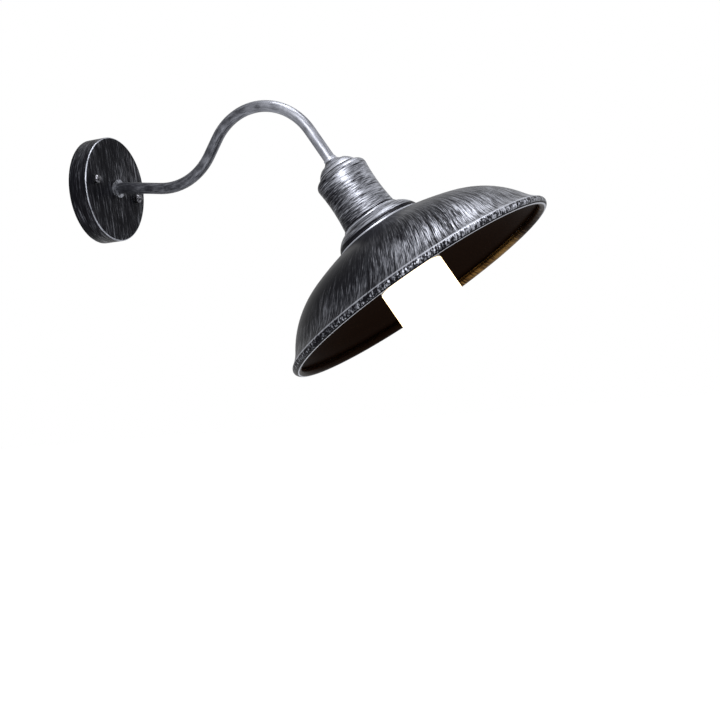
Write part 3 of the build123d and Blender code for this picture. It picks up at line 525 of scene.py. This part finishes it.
# %% Arm finish
arm_enamel, tree, shader = new_material("wiped_enamel_arm")
place = add(tree, "ShaderNodeTexCoord")
scratch_width, scratch_length, streak_share = 0.7 * MM, 9 * MM, 0.3
strokes = add(tree, "ShaderNodeMapping", {
    "Vector": place.outputs["Object"],
    "Scale": (1 / scratch_width, 1 / scratch_length, 1 / scratch_length)})
streaks = add(tree, "ShaderNodeGroup", {0: strokes.outputs[0]}, node_tree=dry_brush)
outward = add(tree, "ShaderNodeSeparateXYZ", {0: place.outputs["Object"]})
# less silver towards the wall end, so the tube is darker there
paint_offset_by_place = add(tree, "ShaderNodeMapRange", {
    "Value": outward.outputs["Y"], "From Min": -0.05, "From Max": -0.3,
    "To Min": 0.2, "To Max": 0.62}, interpolation_type="SMOOTHSTEP")
amount = add(tree, "ShaderNodeMath", {
    0: streaks.outputs[0], 1: streak_share, 2: paint_offset_by_place.outputs[0]},
    operation="MULTIPLY_ADD").outputs[0]
two_coats(tree, shader, amount, soft=0.5)
wear(arm_enamel, "arm_tube")

# %% [markdown]
# ## Canopy
# A pressed steel cup. Its face was brushed straight up and down and its wall round about, with
# little paint, so both are mostly black with thin streaks. The pressed edge between them took a
# clear silver line, which is also a painted highlight, and the hollow inside was never brushed.
# Face and wall could be given a material each, but the way in which the surface faces tells them
# apart within one.

# %% Canopy finish: face and wall
canopy_enamel, tree, shader = new_material("dry_brushed_enamel_canopy")
place = add(tree, "ShaderNodeTexCoord")
hair_width, hair_length, hand_slant = 0.5 * MM, 12 * MM, radians(4)
faces_room, wall_level, face_level = -0.6, -0.32, -0.3
straight = add(tree, "ShaderNodeMapping", {
    "Vector": place.outputs["Object"], "Rotation": (0, hand_slant, 0),
    "Scale": (1 / hair_width, 1 / hair_width, 1 / hair_length)})
round_about = add(tree, "ShaderNodeMapping", {
    "Vector": place.outputs["Object"],
    "Scale": (1 / hair_length, 1 / hair_width, 1 / hair_length)})
facing = add(tree, "ShaderNodeSeparateXYZ", {0: place.outputs["Normal"]})
on_face = add(tree, "ShaderNodeMath", {0: facing.outputs["Y"], 1: faces_room},
              operation="LESS_THAN")
strokes = add(tree, "ShaderNodeMix", {0: on_face.outputs[0], 4: round_about.outputs[0],
                                      5: straight.outputs[0]}, data_type="VECTOR")
streaks = add(tree, "ShaderNodeGroup", {0: strokes.outputs[1]}, node_tree=dry_brush)
level = add(tree, "ShaderNodeMapRange", {
    "Value": on_face.outputs[0], "To Min": wall_level, "To Max": face_level})
amount = add(tree, "ShaderNodeMath", {0: streaks.outputs[0], 1: 1.0, 2: level.outputs[0]},
             operation="MULTIPLY_ADD")
print("hairs", hair_width / MM, "mm wide and", hair_length / MM, "mm long")

# %% Canopy finish: edge and hollow inside
canopy_edge_radius, canopy_front = 56 * MM, -22 * MM
# the silver line on the pressed edge is caught paint and also a painted highlight
edge_full, edge_gone, edge_paint_and_highlight = 0.8 * MM, 1.4 * MM, 1.2
flat = add(tree, "ShaderNodeVectorMath", {0: place.outputs["Object"], 1: (1, 0, 1)},
           operation="MULTIPLY")
from_axis = add(tree, "ShaderNodeVectorMath", {0: flat.outputs[0]}, operation="LENGTH")
depth = add(tree, "ShaderNodeSeparateXYZ", {0: place.outputs["Object"]})
point = add(tree, "ShaderNodeCombineXYZ", {"X": from_axis.outputs["Value"],
                                           "Y": depth.outputs["Y"]})
gap = add(tree, "ShaderNodeVectorMath", {
    0: point.outputs[0], 1: (canopy_edge_radius, canopy_front, 0)}, operation="DISTANCE")
edge = add(tree, "ShaderNodeMapRange", {
    "Value": gap.outputs["Value"], "From Min": edge_full, "From Max": edge_gone,
    "To Min": edge_paint_and_highlight, "To Max": 0.0}, interpolation_type="SMOOTHSTEP")
amount = add(tree, "ShaderNodeMath", {0: amount.outputs[0], 1: edge.outputs[0]}, operation="ADD")
outer_wall, face_thickness = 55.4 * MM, 0.9 * MM  # both end within the sheet
hollow = add(tree, "ShaderNodeMath", {0: from_axis.outputs["Value"], 1: outer_wall},
             operation="LESS_THAN")
behind = add(tree, "ShaderNodeMath", {0: depth.outputs["Y"], 1: canopy_front + face_thickness},
             operation="GREATER_THAN")
hollow = add(tree, "ShaderNodeMath", {0: hollow.outputs[0], 1: behind.outputs[0]},
             operation="MULTIPLY")
amount = add(tree, "ShaderNodeMath", {0: hollow.outputs[0], 1: bare, 2: amount.outputs[0]},
             operation="MULTIPLY_ADD")
two_coats(tree, shader, amount.outputs[0])
wear(canopy_enamel, "canopy")

# %% [markdown]
# ## Arm collar
# The turned collar between canopy and tube got the most silver, and only rings of black are left
# in its tool marks. The same brush does it, with strokes that are longer across the tube than
# along it, and with more paint.

# %% Collar finish
collar_enamel, tree, shader = new_material("worn_silver_collar")
place = add(tree, "ShaderNodeTexCoord")
groove_width, groove_length, silver_left = 0.7 * MM, 4 * MM, 0.6
strokes = add(tree, "ShaderNodeMapping", {
    "Vector": place.outputs["Object"],
    "Scale": (1 / groove_length, 1 / groove_width, 1 / groove_length)})
streaks = add(tree, "ShaderNodeGroup", {0: strokes.outputs[0]}, node_tree=dry_brush)
amount = add(tree, "ShaderNodeMath", {0: streaks.outputs[0], 1: silver_left}, operation="ADD")
two_coats(tree, shader, amount.outputs[0])
wear(collar_enamel, "arm_collar")

# %% [markdown]
# ## Small metal and plastic parts
# Turned screws, plated strips and moulded blocks share one recipe: a plain surface whose colour
# and gloss wander a little, with a fine grain from how it was made. Each could have a material
# of its own from nothing, but they would differ only in numbers. So the function takes the two
# colours between which it wanders, the size of the grain and how deep that is cut. A Mapping
# scale that differs by axis draws the grain out into lines, as turning, rolling or milling does.

# %% One recipe for small parts
def small_part(name, dark, light, grain, roughness, metallic=0.0, depth_mm=0.02, wander_mm=9.0,
               more=None):
    """A finish that wanders between two colours, with a grain of a size in mm for each axis.

    More holds other inputs of the shader by name.
    """
    material, tree, shader = new_material(name)
    place = add(tree, "ShaderNodeTexCoord")
    stretched = add(tree, "ShaderNodeMapping", {
        "Vector": place.outputs["Object"], "Scale": [1 / (size * MM) for size in grain]})
    lines = add(tree, "ShaderNodeTexNoise", {"Vector": stretched.outputs[0], "Scale": 1.0,
                                             "Detail": 2.0})
    clouds = add(tree, "ShaderNodeTexNoise", {"Vector": place.outputs["Object"],
                                              "Scale": 1 / (wander_mm * MM), "Detail": 2.0})
    blend = add(tree, "ShaderNodeMath", {0: lines.outputs[0], 1: clouds.outputs[0]},
                operation="ADD")
    blend = add(tree, "ShaderNodeMapRange", {"Value": blend.outputs[0], "From Min": 0.75,
                                             "From Max": 1.25})
    colour = add(tree, "ShaderNodeMix", {0: blend.outputs[0], 6: paint(dark), 7: paint(light)},
                 data_type="RGBA")
    gloss = add(tree, "ShaderNodeMapRange", {"Value": clouds.outputs[0], "From Min": 0.3,
                                             "From Max": 0.7, "To Min": roughness * 0.8,
                                             "To Max": roughness * 1.2})
    cut = add(tree, "ShaderNodeBump", {"Height": lines.outputs[0], "Strength": 0.5,
                                       "Distance": depth_mm * MM})
    tree.links.new(colour.outputs[2], shader.inputs["Base Color"])
    tree.links.new(gloss.outputs[0], shader.inputs["Roughness"])
    tree.links.new(cut.outputs[0], shader.inputs["Normal"])
    shader.inputs["Metallic"].default_value = metallic
    for key, value in (more or {}).items():
        shader.inputs[key].default_value = value
    return material


# %% [markdown]
# ## Canopy screws
# Domed steel screws that were tumbled smooth and painted over together with the canopy. The
# steel shows grey on the domes, the black stayed in the slots, and they are duller than bare
# metal. Colours that wander every 2.4 mm put both on one small head without a mask.

# %% Screws and their washers
screw_steel = small_part("tumbled_steel_painted_over", "#141417", "#66666b", (1.6, 1.6, 2.4),
                         0.34, metallic=1.0, wander_mm=2.4)
wear(screw_steel, "canopy_screws", "canopy_screw_washers")

# %% [markdown]
# ## Zinc plated steel
# The strap on the wall and the threaded fittings are stamped or turned and then plated in a zinc
# bath. Zinc is bluer and softer in gloss than nickel, and rolling lines run along the strap, so
# the grain is 12 mm long that way and 0.8 mm across. Plating leaves no large crystals, as molten
# zinc does, so none are drawn.

# %% Zinc
zinc = small_part("zinc_plated_rolled_steel", "#8d9297", "#c3c8cc", (12, 0.8, 0.8), 0.34,
                  metallic=1.0, wander_mm=6.0)
wear(zinc, "wall_bracket", "earth_screw", "earth_washer", "wall_nipple", "lock_washer",
     "arm_locknut", "head_nipple", "head_locknut", "lampholder_grub_screw")

# %% [markdown]
# ## Brass
# Terminals and contacts are turned or drawn from brass and left bare. The metal is warm, with
# turning lines a fraction of a millimetre apart, drawn coarser here so that they show. Real
# grooves in the mesh would cost thousands of faces, and on parts this small a bump does as well.

# %% Brass
brass = small_part("turned_bare_brass", "#a88443", "#dcb86a", (6, 6, 0.5), 0.28,
                   metallic=1.0, wander_mm=5.0)
wear(brass, "terminal_tubes", "terminal_block_screws", "lamp_shell", "centre_contact",
     "lampholder_terminal_screws")

# %% [markdown]
# ## Black phenolic
# The lampholder is pressed from phenolic powder in a hot mould. It comes out black and half
# glossy, with flow marks, and its skirt has a slight orange-peel from the mould. A grain of the
# same size every way gives that, and an index of 1.6 its hard gloss.

# %% Lampholder
phenolic = small_part("moulded_black_phenolic", "#101011", "#1d1c1b", (1.4, 1.4, 1.4), 0.36,
                      depth_mm=0.05, wander_mm=14.0, more={"IOR": 1.6})
wear(phenolic, "lampholder_skirt", "shade_ring", "lampholder_core", "lampholder_cap")

# %% [markdown]
# ## Nylon and wire insulation
# The terminal block is moulded in natural nylon, a slightly translucent warm white, and a little
# subsurface light does that better than a paler colour would. The two leads have smooth extruded
# insulation, brown for live and blue for neutral, shiny along their length.

# %% Terminal block and leads
nylon = small_part("moulded_natural_nylon", "#dcd9cc", "#f0eee4", (0.9, 0.9, 0.9), 0.45, more={
    "Subsurface Weight": 0.15, "Subsurface Radius": (2 * MM, 2 * MM, 1.6 * MM)})
wear(nylon, "terminal_block")
brown_vinyl = small_part("extruded_brown_vinyl", "#4a2412", "#6d3a20", (0.8, 8, 8), 0.33)
wear(brown_vinyl, "live_wire")
blue_vinyl = small_part("extruded_blue_vinyl", "#1c3f86", "#2d5cb4", (0.8, 8, 8), 0.33)
wear(blue_vinyl, "neutral_wire")

# %% [markdown]
# ## Bulb cap
# The screw cap is rolled from thin nickel-plated brass, bright on its crests. Fired black glass
# insulates it from the contact, which is a blob of solder, dull and a little lumpy. The lumps are
# a deeper bump, as real ones are too shallow to change the outline.

# %% Cap, insulator and contact
nickel = small_part("rolled_nickel_plate", "#a9a59d", "#d6d2ca", (5, 5, 0.7), 0.22,
                    metallic=1.0, wander_mm=7.0)
wear(nickel, "bulb_cap")
black_glass = small_part("fired_black_glass", "#0c0c10", "#1a1a20", (2, 2, 2), 0.12,
                         depth_mm=0.03)
wear(black_glass, "bulb_cap_insulator")
solder = small_part("dull_tin_solder", "#85868a", "#b9babd", (1.5, 1.5, 1.5), 0.42,
                    metallic=1.0, depth_mm=0.08)
wear(solder, "bulb_cap_contact")

# %% [markdown]
# ## Inside the bulb
# The housing is white moulded plastic with the fine grain of a spark-eroded mould. Inside sit a
# milled aluminium plate, the yellow phosphor of the LEDs cast over their chips, and a green board
# of woven glass and resin, whose weave shows as a faint grid. Two wave textures that cross make
# the weave, drawn at 0.8 mm, somewhat coarser than it is, so that it shows.

# %% Housing, plate and LEDs
white_plastic = small_part("moulded_white_plastic", "#e2e1dc", "#f1f0ec", (0.7, 0.7, 0.7), 0.38,
                           depth_mm=0.03, wander_mm=20.0)
wear(white_plastic, "bulb_housing")
aluminium = small_part("milled_aluminium", "#b4b6b9", "#dfe0e2", (0.6, 9, 9), 0.32, metallic=1.0)
wear(aluminium, "bulb_led_plate")
phosphor = small_part("cast_yellow_phosphor", "#e2c23c", "#f4dc62", (0.6, 0.6, 0.6), 0.4)
wear(phosphor, "bulb_leds")

# %% Driver board
board_resin, tree, shader = new_material("woven_glass_board")
place = add(tree, "ShaderNodeTexCoord")
weave_pitch = 0.8 * MM
bands_in_unit = 3.14  # of a wave texture at scale 1
warp, weft = [add(tree, "ShaderNodeTexWave", {
    "Vector": place.outputs["Object"], "Scale": 1 / (bands_in_unit * weave_pitch)},
    bands_direction=way) for way in ("X", "Z")]
grid = add(tree, "ShaderNodeMath", {0: warp.outputs[0], 1: weft.outputs[0]}, operation="MULTIPLY")
colour = add(tree, "ShaderNodeMix", {
    0: grid.outputs[0], 6: paint("#1b4d2b"), 7: paint("#2f6f43")}, data_type="RGBA")
tree.links.new(colour.outputs[2], shader.inputs["Base Color"])
threads = add(tree, "ShaderNodeBump", {"Height": grid.outputs[0], "Strength": 0.4,
                                       "Distance": 0.03 * MM})
tree.links.new(threads.outputs[0], shader.inputs["Normal"])
shader.inputs["Roughness"].default_value = 0.35
wear(board_resin, "bulb_driver_board")

# %% [markdown]
# ## Opal diffuser
# The bulb is lit. Its diffuser is opal plastic that scatters the light until the whole shell
# glows, so bright that it looks plain white, while what it lights inside the shade comes out
# warm. Lamps inside a translucent shell would be truer and far slower and noisier. The glow is a
# warm emission instead, strong enough that every channel reaches white, and it weakens a little
# towards the tip, where the LEDs behind are further away.

# %% Diffuser
opal, tree, shader = new_material("lit_opal_plastic")
head = add(tree, "ShaderNodeGroup", node_tree=head_axes)
bulb_tip, diffuser_top, haze_size = -34.5 * MM, 44 * MM, 18 * MM
tip_glow, top_glow = 3.1, 4.0
glow = add(tree, "ShaderNodeMapRange", {
    "Value": head.outputs["Height"], "From Min": bulb_tip, "From Max": diffuser_top,
    "To Min": tip_glow, "To Max": top_glow}, interpolation_type="SMOOTHSTEP")
tree.links.new(glow.outputs[0], shader.inputs["Emission Strength"])
place = add(tree, "ShaderNodeTexCoord")
haze = add(tree, "ShaderNodeTexNoise", {"Vector": place.outputs["Object"],
                                        "Scale": 1 / haze_size, "Detail": 2.0})
warmth = add(tree, "ShaderNodeMix", {
    0: haze.outputs[0], 6: paint("#ffd59b"), 7: paint("#ffdcab")}, data_type="RGBA")
tree.links.new(warmth.outputs[2], shader.inputs["Emission Color"])
shader.inputs["Base Color"].default_value = paint("#f4f3ef")
shader.inputs["Roughness"].default_value = 0.3
wear(opal, "bulb_diffuser")

# %% [markdown]
# ## A look over all pieces
# A piece that was forgotten would keep the plain colour that it came with. This cell names any
# such piece, and an empty list means that every one has its own finish.

# %% Every piece has a finish
plain = [
    name for name, node in nodes.items() if not node.data.materials
    or node.data.materials[0].node_tree.nodes.get("Image Texture")]
print("pieces left plain:", plain)
